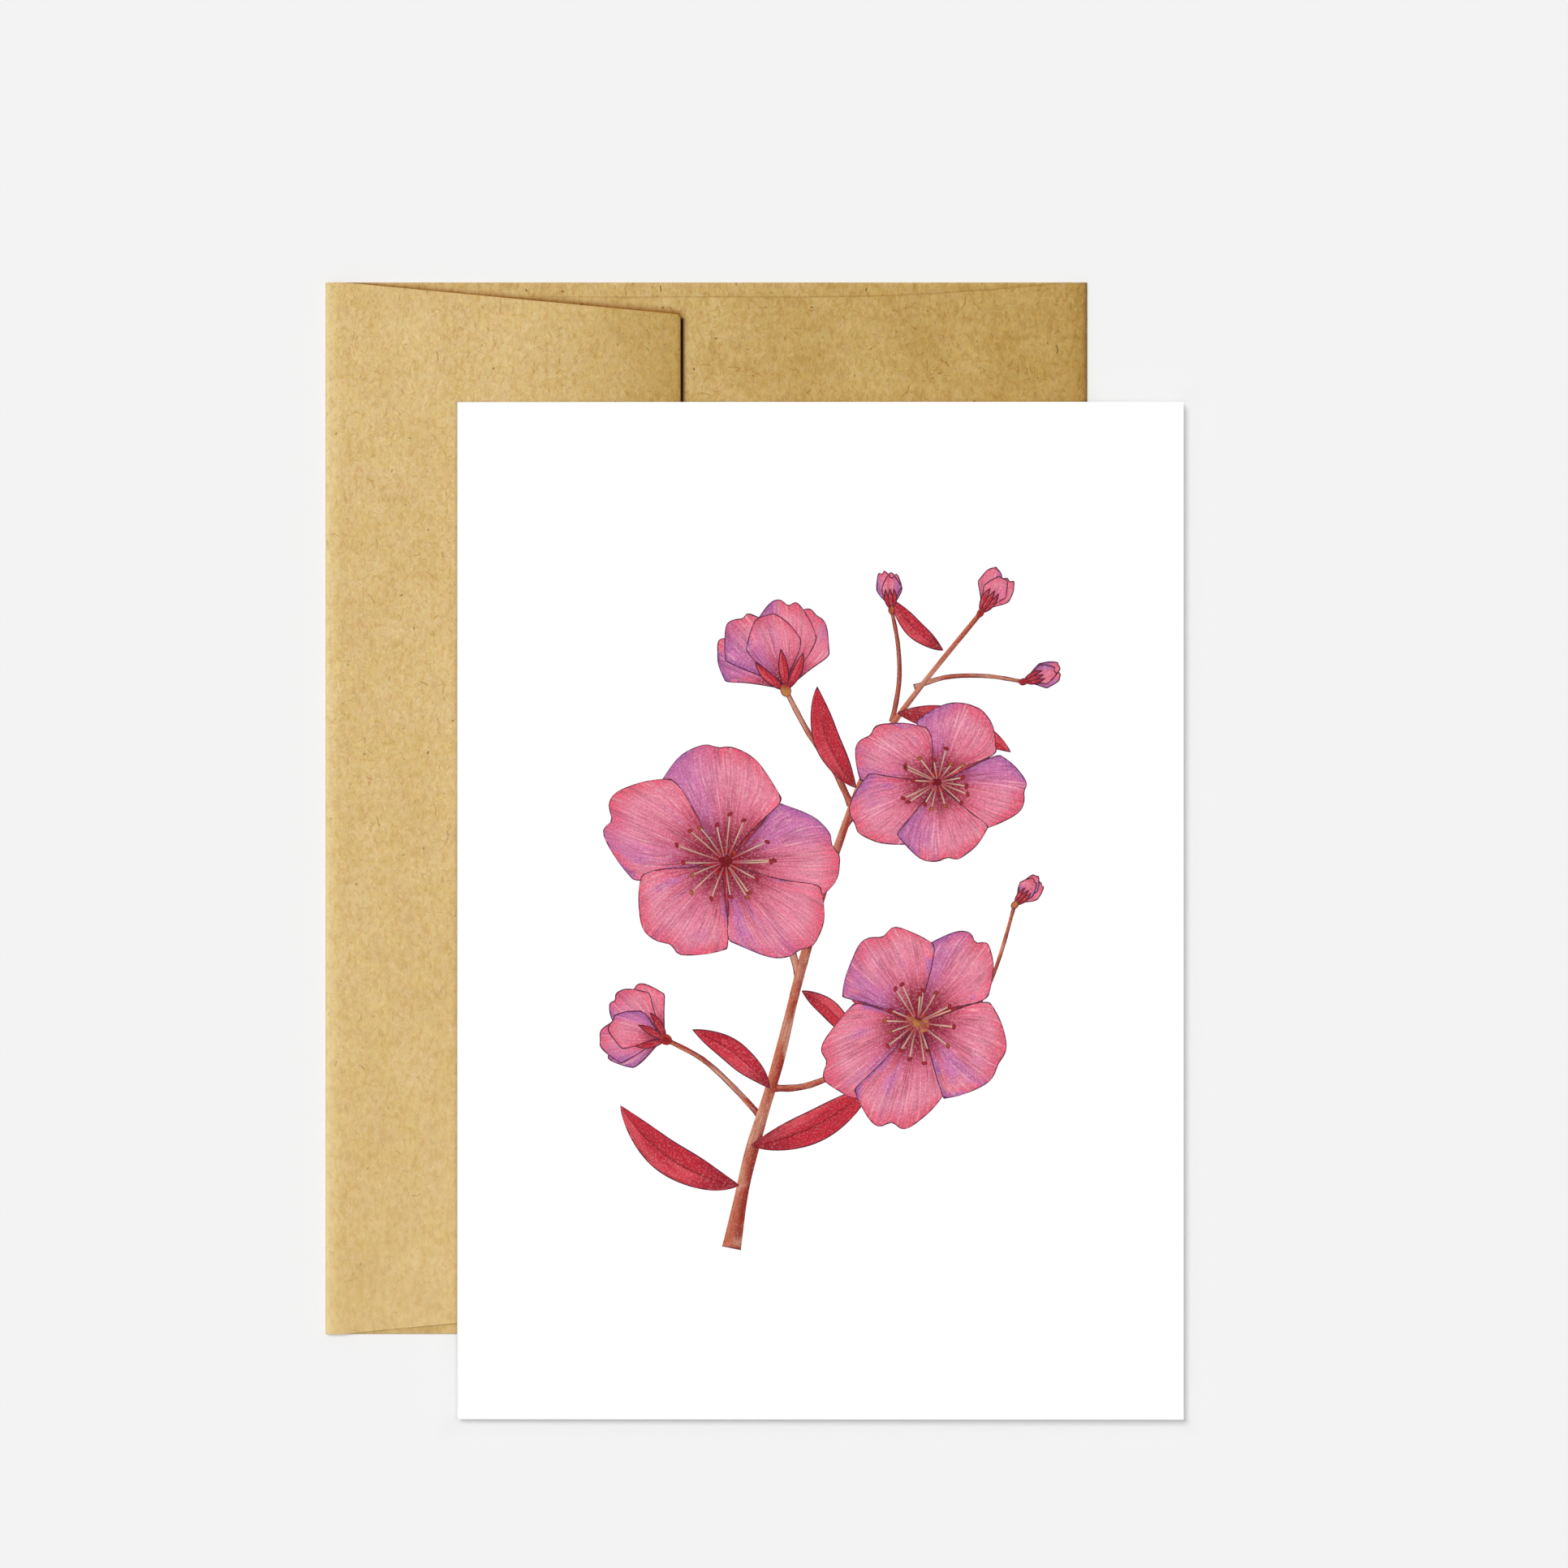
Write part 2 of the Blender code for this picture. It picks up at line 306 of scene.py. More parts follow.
def buildFibreScatter():
    # one short curled fibre in each cell of a scatter
    sizes = {label: "Float" for label in ("Spacing", "Length", "Width", "Curl")}
    group, given = newGroup("fibreScatter", Place="Vector", **sizes)
    density = outOf(group, "Math", {0: 1.0, 1: given["Spacing"]}, operation="DIVIDE")
    inputs = {"Vector": given["Place"], "Scale": density}
    cells = addNode(group, "TexVoronoi", inputs, voronoi_dimensions="2D")
    luck = Value(group, cells.outputs["Color"]).parts("Color")
    inputs = {0: given["Place"], 1: Value(group, cells.outputs["Position"])}
    local = outOf(group, "VectorMath", inputs, operation="SUBTRACT")
    # more of them lie along the sheet's length than across it
    lean = luck[0].times(2.0, -1.0)
    lean = lean * abs(lean)
    inputs = {"Vector": local, "Angle": lean.times(math.pi / 2, math.pi / 2)}
    x, y = outOf(group, "VectorRotate", inputs, rotation_type="Z_AXIS").parts()[:2]
    sagged = luck[1].times(2.0, -1.0) * given["Curl"] * (x * x)
    wave = x.times(3.4, luck[2] * 6.0).maths("SINE")
    aside = abs(y - wave.times(0.06, sagged))
    reach = given["Length"] * luck[2].times(0.65, 0.35)
    mask = (abs(x) / reach).span(1.0, 0.6) * (aside / given["Width"]).span(1.0, 0.0)
    return closeGroup(group, {"Mask": mask, "Chance": luck[1]})


def buildKraftFibre(scatter):
    # the look of unbleached paper, on a place along the unfolded sheet
    group, given = newGroup("kraftFibre", Place="Vector")
    place, masks = given["Place"], {}
    for i, (label, spacing, length, width, curl, least) in enumerate(fibreLayers):
        inputs = {"Spacing": spacing, "Length": length, "Width": width, "Curl": curl}
        inputs["Place"] = place.mapped(shift=(17.3 * i, 9.7 * i, 0))
        layer = useGroup(group, scatter, inputs)
        mask = layer["Mask"] * layer["Chance"].straight(least, 1.0)
        masks[label] = masks[label].atLeast(mask) if label in masks else mask
    upright = place.mapped((1.35, 0.8, 1.0))
    grain = upright.noise(0.75, 4.0, 0.60, 0.5)
    fine = upright.noise(2.4, 2.0, 0.5)
    looks = {
        "Drift": place.mapped((1.0, 0.4, 1.0), (5, 3, 0)).noise(0.055, 2.0),
        "Cloud": place.noise(0.14, 3.0, 0.6),
        "Hue": upright.mapped(shift=(31, 7, 0)).noise(0.42, 5.0, 0.7),
        "Warmth": upright.mapped(shift=(-13, 22, 0)).noise(0.16, 5.0, 0.68),
        "Tinge": upright.mapped(shift=(17, -9, 0)).noise(1.1, 2.0, 0.5),
        "Blush": upright.mapped(shift=(-3, -27, 0)).noise(0.8, 4.0, 0.62),
        "Mottle": grain,
        "Speck": fine,
        "Height": grain.times(0.6, masks["Fibres"].times(0.4, fine * 0.28)),
    }
    return closeGroup(group, looks | masks)


def kraftMaterial(group):
    tones = kraftTones
    made, tree, shader = newMaterial("kraftPaper", tones["light"], tones["roughness"], 0.05)
    sheet = outOf(tree, "UVMap", output="UV", uv_map="blank")
    fibre = useGroup(tree, group, {"Place": sheet})
    x, y = objectPlace(tree).parts()[:2]
    u, v = sheet.parts()[:2]
    onFlap = u.maths("LESS_THAN", 0.0)
    off = 1.0 - onFlap
    past = (u - faceWide / mm).atLeast(v * -1.0).atLeast(v - faceTall / mm)
    # painted shade: darker towards the right long edge, more on the back panel than on the flap
    flapShade = x.straight(*tones["flapShadeRamp"]) ** 2.1
    backShade = x.straight(*tones["backShadeRamp"]) - x.straight(*tones["wedgeShadeEase"])
    backShade = backShade * past.span(0.0, 0.8, 0.35, 1.0)
    paintedShade = outOf(tree, "Mix", {0: onFlap, 2: backShade, 3: flapShade})
    base = paintedShade.between(tones["light"], tones["deep"])

    # the patches are darker where the painted shade is deeper
    level = 1.0 - paintedShade * 0.30
    darker = colourOf(level, level, level)
    for name, reach in tones["patches"].items():
        base = base.mixed(fibre["Hue"].span(*reach), darker.tinted(tones[name]))

    # cloudier and bolder beyond the flap, and calmer towards the lower end
    calm = y.straight(*tones["calm"])
    blurred = calm**2.5
    uneven = {label: fibre[label].span(*reach) for label, reach in tones["uneven"].items()}
    cloud = (uneven["Cloud"] * uneven["Drift"]) ** off.times(0.80, 1.0)
    grey = cloud * uneven["Mottle"] ** (calm.times(0.25, 0.76) * off.times(0.30, 1.0))
    speck = uneven["Speck"] ** blurred
    # the darker it is, the more orange
    for grain, redness, blueness in ((grey, 0.68, 1.72), (speck, 0.90, 1.36)):
        base = base.tinted(colourOf(grain**redness, grain, grain**blueness))
    tinge = uneven["Warmth"] * uneven["Tinge"] ** calm
    base = base.tinted(colourOf(uneven["Blush"] ** calm, 1.0, tinge))
    for label, tint, strength, fading in tones["tints"]:
        boldness = calm**fading * paintedShade.times(0.12 * strength, strength)
        base = base.tinted(tint, fibre[label].maths("MULTIPLY", boldness, clamp=True))

    # painted highlight on the flap's fold, painted shade near the right fold and along the flap's free
    # edge, then the shade in the gap beside the flap's free edge and its slanting end
    flat = -leftFold.length / mm
    wide, most = tones["foldHighlight"]
    foldHighlight = abs(u - flat * 0.72).span(wide, 0.0) * most
    highlightTail = (u - flat).straight(*tones["highlightTail"]) * onFlap
    foldHighlightMask = foldHighlight.atLeast(highlightTail) * fibre["Mottle"].span(0.3, 0.6, 0.75, 1.0)
    edge = sealFlapHigh.x / mm
    base = base.mixed(foldHighlightMask, tones["highlightTone"])
    base = base.tinted(tones["rightFoldShade"], x.straight(55.0, 57.6) * off)
    base = base.tinted(tones["turned"], x.span(57.4, 58.3) * off)
    base = base.tinted(tones["freeEdgeShade"], x.span(edge - 0.8, edge) * onFlap)
    gapShade(base, onFlap, off, x, y).into(shader, "Base Color")
    addBump(shader, fibre["Height"] * blurred, 0.5, 0.00007)
    return made


def outsideCard(x, y):
    # how far a place is from the card's outline, less than none under the card
    beside = abs(x - cardMiddle.x / mm) - (cardBackHigh.x - creaseLow.x) / 2 / mm
    return beside.atLeast(abs(y - cardMiddle.y / mm) - (cardBackHigh.y - cardBackLow.y) / 2 / mm)


gaps = {
    # where each shade begins and ends, from the edge that casts it, and how strong it is
    "side": (1.30, 0.36, 0.99),        # beside the flap's free edge
    "rim": (-0.16, -0.02, 0.0, 0.75),  # on the flap itself, along that edge
    "soft": (2.4, 0.0, 0.0, 0.12),     # fainter, around both
    "slant": (1.08, 0.08),             # along the flap's slanting ends
    "slantWidens": (0.82, 0.93),
    "lowerEnd": (0.0, 10.0, 0.12, 1.0),   # faint at the lower one: between these places on Y
    "seam": (0.30, 0.05, 0.0, 0.32),   # above the back panel's short edges
    "contact": (0.8, 0.34),            # where the card's edges rest on the paper
    "haze": (2.2, 0.0, 0.0, 0.05),     # fainter, around that
}


def gapShade(base, onFlap, off, x, y):
    # the shade beside the flap's edges and above the back panel's, on what lies under them
    corner = (envelopeHalf - envelope["flapTaper"]) / mm
    run = (sealFlapHigh.x - leftFoldLow.x - envelope["flapSquareEnd"]) / mm
    beyond = x - sealFlapHigh.x / mm
    outward = abs(y - envelopeMiddle / mm)
    above = outward - corner
    inside = above.span(0.1, -0.9)
    reach = beyond.straight(-run, 0.0)
    fromSlant = beyond.times(envelope["flapTaper"] / mm / run, above)
    slant = (fromSlant / reach.times(*gaps["slantWidens"])).straight(*gaps["slant"]) ** 2.0
    slant = slant * beyond.span(0.8, -0.6) * reach.straight(0.0, 1.0, 1.0, 1.12)
    slant = slant * y.span(*gaps["lowerEnd"])

    shoulderEnd = (rightFoldHigh.x - envelope["shoulderFromRight"]) / mm
    part = x.straight(shoulderEnd - envelope["shoulderLength"] / mm, shoulderEnd)
    seam = envelope["seamInset"] / mm
    fromSeam = outward - (part * part).times(seam, envelopeHalf / mm - seam)
    line = fromSeam.span(*gaps["seam"]) * fromSeam.span(-0.16, -0.04)

    soft = beyond.span(*gaps["soft"]) * above.span(0.6, -2.0)
    dark = slant.atLeast(soft).atLeast(line)
    shaded = base.tinted(kraftTones["shade"], dark * off)
    wide, narrow, most = gaps["side"]
    side = beyond.straight(wide, narrow) ** 2.0 * (off * most)
    rim = beyond.span(*gaps["rim"]) * onFlap
    shaded = shaded.mixed(side.atLeast(rim) * inside, kraftTones["gap"])
    outside = outsideCard(x, y)
    shaded = shaded.mixed(outside.span(*gaps["haze"]), (0, 0, 0))
    wide, most = gaps["contact"]
    return shaded.tinted(kraftTones["contact"], outside.straight(wide, 0.0) ** 2.0 * most)


cardTones = {
    "white": (0.915, 0.915, 0.905),
    "shade": (0.885, 0.882, 0.868),
    "creaseShade": (0.52, 0.51, 0.49),      # what the painted shade in the pressed line inside the fold leaves of the white
    "creaseShadeReach": 0.70,               # to each side of the fold's middle
    "roughness": 0.62,
}


def stockMaterial():
    tones = cardTones
    made, tree, shader = newMaterial("cardStock", tones["white"], tones["roughness"], 0.25)
    place = objectPlace(tree)
    tooth = place.noise(2.6, 3.0, 0.6)
    felt = place.noise(0.35, 3.0, 0.55)
    base = felt.span(0.52, 0.75, 0.0, 0.6).between(tones["white"], tones["shade"])
    # painted shade in the pressed line inside the crease
    fromFold = outOf(tree, "Attribute", output="Fac", attribute_name="fromFold")
    base = base.tinted(tones["creaseShade"], fromFold.span(tones["creaseShadeReach"], 0.0))
    base.into(shader, "Base Color")
    tooth.span(0.3, 0.7, 0.56, 0.70).into(shader, "Roughness")
    addBump(shader, tooth, 0.25, 0.00003)
    return made


glues = {
    # colour where it is thin and where it is thick, roughness from and to, specular level, bump
    "driedGum": ((0.50, 0.35, 0.16), (0.70, 0.55, 0.32), (0.25, 0.45), 0.50, 0.3),
    "seamGlue": ((0.52, 0.40, 0.22), (0.78, 0.70, 0.52), (0.30, 0.50), 0.45, 0.4),
}


def brushed(place):
    # dried gum lies in long streaks
    streaks = place.mapped((1.6, 0.05, 1.0)).noise(1.0, 3.0, 0.6)
    return streaks.times(0.5, place.noise(0.25, 3.0) * 0.5)


def blobbed(place):
    return place.noise(0.5, 3.0, 0.55)


def glueMaterial(name, patternOn):
    thin, thick, rough, specular, bump = glues[name]
    made, tree, shader = newMaterial(name, thick, sum(rough) / 2, specular)
    pattern = patternOn(objectPlace(tree))
    pattern.between(thin, thick).into(shader, "Base Color")
    pattern.span(0.3, 0.7, *rough).into(shader, "Roughness")
    addBump(shader, pattern, bump, 0.00004)
    return made


# Making a finished object of a mesh


def newObject(name, data):
    thing = bpy.data.objects.new(name, data)
    bpy.context.scene.collection.objects.link(thing)
    return thing


def meshObject(name, bm):
    mesh = bpy.data.meshes.new(name)
    bm.to_mesh(mesh)
    bm.free()
    return newObject(name, mesh)


def finishPiece(name, bm, material, thickness, offset=0.0):
    # the surface gets its thickness and its finish
    bmesh.ops.recalc_face_normals(bm, faces=bm.faces)
    thing = meshObject(name, bm)
    wall = thing.modifiers.new("wall", "SOLIDIFY")
    wall.thickness = thickness
    wall.offset = offset
    view = bpy.context.evaluated_depsgraph_get()
    walled = bpy.data.meshes.new_from_object(thing.evaluated_get(view))
    thing.modifiers.clear()
    thing.data = walled
    walled.name = name
    walled.materials.append(material)
    walled.shade_smooth()
    walled.set_sharp_from_angle(angle=math.radians(40))
    return thing


def gridOf(bm, across, along):
    # a grid whose columns and rows stand at the given numbers; returns its vertices with their numbers
    made = bmesh.ops.create_grid(
        bm, x_segments=len(across) - 1, y_segments=len(along) - 1, size=1, calc_uvs=False
    )
    placed = []
    for vertex in made["verts"]:
        column = round((vertex.co.x + 1) / 2 * (len(across) - 1))
        row = round((vertex.co.y + 1) / 2 * (len(along) - 1))
        placed.append((vertex, across[column], along[row]))
    return placed


# The envelope: one blank of kraft paper, folded

envelope = {
    "step": 2.4 * mm,            # between the grid's lines on the flat panels
    "foldSteps": 12,
    "leftReach": 0.90 * mm,      # how far across each fold's curve runs
    "rightReach": 0.95 * mm,
    "sideReach": 0.24 * mm,
    "cornerNip": 0.04 * mm,      # the corners are a little rounded
    "cornerRun": 1.5 * mm,       # where the short ends' folds begin
    "flapSquareEnd": 2.9 * mm,
    "flapTaper": 5.7 * mm,
    "flapRounding": 1.0 * mm,
    "roundingSteps": 5,
    "squareStep": 0.6 * mm,      # between the grid's lines on the flap's square end
    "flapLift": 0.6 * mm,        # how far the flap's free corner stands up
    "flapSink": 0.52 * mm,       # how far its lower end sinks where no back panel lies under it
    "flapRest": 0.27 * mm,       # the same, where it does
    "sinkReach": 20.0 * mm,      # how far up from the lower end it sinks
    "gumFrom": 19.0 * mm,        # from the back panel's free edge to where the flap lies level again
    "levelling": 12.0 * mm,
    "flapEasing": 8.0 * mm,      # over how much of the paper its waves set in
    "panelEasing": 5.0 * mm,     # the same, on the back panel
    "edgeEasing": 4.0 * mm,      # over how much of it they end under the flap's free edge
    "pressed": 6.0 * mm,         # how far beside the card its weight holds the paper flat
    "seamInset": 2.6 * mm,       # the back panel's short edges, inside the envelope's
    "shoulderLength": 46.0 * mm,
    "shoulderFromRight": 3.5 * mm,
    "sideFlapMitre": 7.0 * mm,
    "ripple": 0.13 * mm,         # how far the paper waves where nothing lies on it
    "rippleLength": 17.0 * mm,
}


def foldLength(reach, rise):
    # half the way round an ellipse
    gap = (reach - rise) ** 2 / (reach + rise) ** 2
    return math.pi * (reach + rise) / 2 * (1 + 3 * gap / (10 + math.sqrt(4 - 3 * gap)))


class Fold:
    # a bend of the sheet: its edge is at "edge", the sheet leaves it towards "inward"
    def __init__(self, edge, inward, radius, reach):
        self.edge, self.inward = edge + inward * paper / 2, inward
        self.radius, self.reach, self.rise = radius, reach, radius - paper / 2
        self.length = foldLength(reach, self.rise)
        self.start = self.edge + inward * reach

    def at(self, gone):
        # where the sheet is after going this far round and on: position and height
        if gone <= 0:
            return self.start - self.inward * gone, paper / 2
        if gone >= self.length:
            return self.start + self.inward * (gone - self.length), 2 * self.radius - paper / 2
        turn = math.pi * gone / self.length
        across = self.edge + self.inward * self.reach * (1 - math.sin(turn))
        return across, self.radius - self.rise * math.cos(turn)


leftFold = Fold(leftFoldLow.x, 1, leftFoldHigh.z / 2, envelope["leftReach"])
rightFold = Fold(rightFoldHigh.x, -1, rightFoldHigh.z / 2, envelope["rightReach"])
upperFold = Fold(envelopeMiddle + envelopeHalf, -1, upperFoldHigh.z / 2, envelope["sideReach"])
lowerFold = Fold(envelopeMiddle - envelopeHalf, 1, upperFoldHigh.z / 2, envelope["sideReach"])
faceWide = rightFold.start - leftFold.start
faceTall = upperFold.start - lowerFold.start
cornerRun = leftFoldLow.x + envelope["cornerRun"] - leftFold.start


def halfRowsAt(u):
    # half the sheet's extent along Y at this place across the unfolded blank
    half = envelopeHalf - envelope["cornerNip"]
    if u <= -leftFold.length:
        x = leftFold.at(-u)[0]
        tip = sealFlapHigh.x
        begin = leftFoldLow.x + envelope["flapSquareEnd"]
        corner = envelope["flapRounding"]
        into = held(x - (tip - corner), 0, corner)
        taper = envelope["flapTaper"] * max(x - begin, 0) / (tip - begin)
        return half - taper - (corner - math.sqrt(corner**2 - into**2))
    if u >= faceWide + rightFold.length:
        x = rightFold.at(u - faceWide)[0]
        shoulderEnd = rightFoldHigh.x - envelope["shoulderFromRight"]
        part = 1 - held((shoulderEnd - x) / envelope["shoulderLength"])
        nip = envelope["cornerNip"] * (x > shoulderEnd)
        return envelopeHalf - envelope["seamInset"] * (1 - part * part) - nip
    if u <= 0 or u >= faceWide:
        return half
    return half + (faceTall / 2 - half) * held(min(u, faceWide - u) / cornerRun)


def rippleAt(x, y, seed):
    place = Vector((x, y * 0.55, seed)) / envelope["rippleLength"]
    return envelope["ripple"] * noise.noise(place)


def bareness(x, y):
    # 1 where the sheet lies bare, 0 where the card presses on it
    past = max(creaseLow.x - x, y - cardBackHigh.y, cardBackLow.y - y)
    return smooth(past / envelope["pressed"])


def flapLiftAt(x, y):
    out = (x - leftFoldLow.x) / (sealFlapHigh.x - leftFoldLow.x)
    up = (y - cardBackHigh.y) / (envelopeMiddle + envelopeHalf - envelope["flapTaper"] - cardBackHigh.y)
    return envelope["flapLift"] * smooth(out) * smooth(up)


def flapSinkAt(x, y):
    low = smooth(1 - (y - envelopeMiddle + envelopeHalf) / envelope["sinkReach"])
    onPanel = smooth((x - backPanelLow.x) / envelope["panelEasing"] + 1.2)
    deep = envelope["flapSink"] + (envelope["flapRest"] - envelope["flapSink"]) * onPanel
    # back at its own height before the gum begins
    return deep * low * smooth((backPanelLow.x + envelope["gumFrom"] - x) / envelope["levelling"])


def foldedPlace(u, v):
    # where a point of the unfolded blank comes to lie; u runs across it and v up it
    x, z = leftFold.at(-u) if u <= faceWide / 2 else rightFold.at(u - faceWide)
    if u <= 0 or u >= faceWide or 0 <= v <= faceTall:
        y = lowerFold.start + v
    elif v > faceTall:
        y, z = upperFold.at(v - faceTall)
    else:
        y, z = lowerFold.at(-v)
    flat = bareness(x, y)
    if u < -leftFold.length:
        onFlap = smooth((x - leftFold.start) / envelope["flapEasing"])
        z += flapLiftAt(x, y) + onFlap * flat * (rippleAt(x, y, 0.31) * 0.6 + envelope["ripple"] * 0.35)
        z -= onFlap * flapSinkAt(x, y)
    elif u > faceWide + rightFold.length:
        onPanel = smooth((rightFold.start - x) / envelope["panelEasing"])
        onPanel *= smooth((x - sealFlapHigh.x) / envelope["edgeEasing"] + 1.5)
        z += onPanel * flat * rippleAt(x, y, 0.07) * 0.9
    return Vector((x, y, z))


def blankColumns():
    steps, step = envelope["foldSteps"], envelope["step"]
    corner, turns = envelope["flapRounding"], envelope["roundingSteps"]
    flapEnd = -(leftFold.length + sealFlapHigh.x - leftFold.start)
    squareEnd = -(leftFold.length + leftFoldLow.x + envelope["flapSquareEnd"] - leftFold.start)
    rounding = [flapEnd + corner * (1 - math.cos(math.pi / 2 * i / turns)) for i in range(turns + 1)]
    panelEnd = faceWide + rightFold.length + rightFold.start - backPanelLow.x
    return joined(
        rounding,
        evenly(flapEnd + corner, squareEnd, step),
        evenly(squareEnd, -leftFold.length, envelope["squareStep"]),
        evenly(-leftFold.length, 0, leftFold.length / steps),
        [0, cornerRun],
        evenly(cornerRun, faceWide - cornerRun, step),
        [faceWide - cornerRun, faceWide],
        evenly(faceWide, faceWide + rightFold.length, rightFold.length / steps),
        evenly(faceWide + rightFold.length, panelEnd, step),
    )


def blankRows():
    steps, step = envelope["foldSteps"], envelope["step"]
    sideEnd = upperFold.length + upperFold.start - sideFlapLow.y
    return joined(
        evenly(-sideEnd, -lowerFold.length, step),
        evenly(-lowerFold.length, 0, lowerFold.length / steps),
        evenly(0, faceTall, step),
        evenly(faceTall, faceTall + upperFold.length, upperFold.length / steps),
        evenly(faceTall + upperFold.length, faceTall + sideEnd, step),
    )


def buildEnvelopeSheet(material):
    bm = bmesh.new()
    placed = gridOf(bm, blankColumns(), blankRows())
    slack = 1e-7
    middle, flapLong = faceWide / 2, upperFold.start - sideFlapLow.y
    outside = []
    spot = {}
    for vertex, u, v in placed:
        besides = v < -slack or v > faceTall + slack
        if besides and abs(u - middle) > middle - cornerRun + slack:
            outside.append(vertex)
            continue
        if besides:
            # the side flaps narrow towards their ends
            gone = max(-v, v - faceTall) - upperFold.length
            narrow = envelope["sideFlapMitre"] * held(gone / flapLong)
            u = middle + (u - middle) * (1 - narrow / (middle - cornerRun))
        else:
            v = faceTall / 2 + (v / faceTall - 0.5) * 2 * halfRowsAt(u)
        spot[vertex] = (u, v)
    bmesh.ops.delete(bm, geom=outside, context="VERTS")
    blank = bm.loops.layers.uv.new("blank")
    for face in bm.faces:
        for loop in face.loops:
            u, v = spot[loop.vert]
            loop[blank].uv = (u / mm, v / mm)
    for vertex, (u, v) in spot.items():
        vertex.co = foldedPlace(u, v)
    thing = finishPiece("envelopeSheet", bm, material, paper)
    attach(thing, "base")
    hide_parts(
        "envelope_face_panel", "envelope_left_fold", "envelope_right_fold",
        "envelope_upper_fold", "envelope_lower_fold", "envelope_upper_side_flap",
        "envelope_lower_side_flap", "envelope_back_panel", "envelope_seal_flap",
    )


# The card: one sheet of white stock, folded once

card = {
    "step": 3.2 * mm,
    "foldSteps": 14,
    "bow": 0.10 * mm,            # the cover springs up a little between crease and edge
}
backLength = cardBackHigh.x - hinge.x
coverLength = (coverHigh.x - hinge.x) / math.cos(openAngle)
cardFoldMiddle = cardFoldRadius - stock / 2
cardFoldLength = (math.pi - openAngle) * cardFoldMiddle


def coverPlace(across, y, lift):
    # a point of the cover, this far from the hinge and this high over its outer face
    height = cardFoldRadius + card["bow"] * math.sin(math.pi * max(across, 0) / coverLength) + lift
    c, s = math.cos(openAngle), math.sin(openAngle)
    return Vector((hinge.x + across * c - height * s, y, hinge.z + across * s + height * c))


def cardPlace(s, y):
    # s runs from the back panel's free edge, round the crease, to the cover's free edge
    if s <= backLength:
        return Vector((cardBackHigh.x - s, y, (cardBackLow.z + cardBackHigh.z) / 2))
    if s < backLength + cardFoldLength:
        turn = (s - backLength) / cardFoldMiddle
        x = hinge.x - cardFoldMiddle * math.sin(turn)
        return Vector((x, y, hinge.z - cardFoldMiddle * math.cos(turn)))
    return coverPlace(s - backLength - cardFoldLength, y, -stock / 2)


def buildCardSheet(material):
    coverFrom = backLength + cardFoldLength
    lines = joined(
        evenly(0, backLength, card["step"]),
        evenly(backLength, coverFrom, cardFoldLength / card["foldSteps"]),
        evenly(coverFrom, coverFrom + coverLength, card["step"]),
    )
    bm = bmesh.new()
    fromFold = bm.verts.layers.float.new("fromFold")
    for vertex, s, y in gridOf(bm, lines, evenly(cardBackLow.y, cardBackHigh.y, card["step"])):
        vertex.co = cardPlace(s, y)
        vertex[fromFold] = abs(s - backLength - cardFoldLength / 2) / mm
    thing = finishPiece("cardSheet", bm, material, stock)
    # the painted shade in the pressed line shows inside alone: the outer side counts as far from the fold
    for vertex, reach in zip(thing.data.vertices, thing.data.attributes["fromFold"].data):
        within = Vector((max(vertex.co.x, hinge.x), vertex.co.y, hinge.z)) - vertex.co
        if vertex.normal.dot(within) < 0:
            reach.value = backLength / mm
    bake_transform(thing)
    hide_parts("card_back_panel", "card_crease", "card_cover")


# The print on the cover: a loose spray of blossoms, each shape a thin film of pencil colour

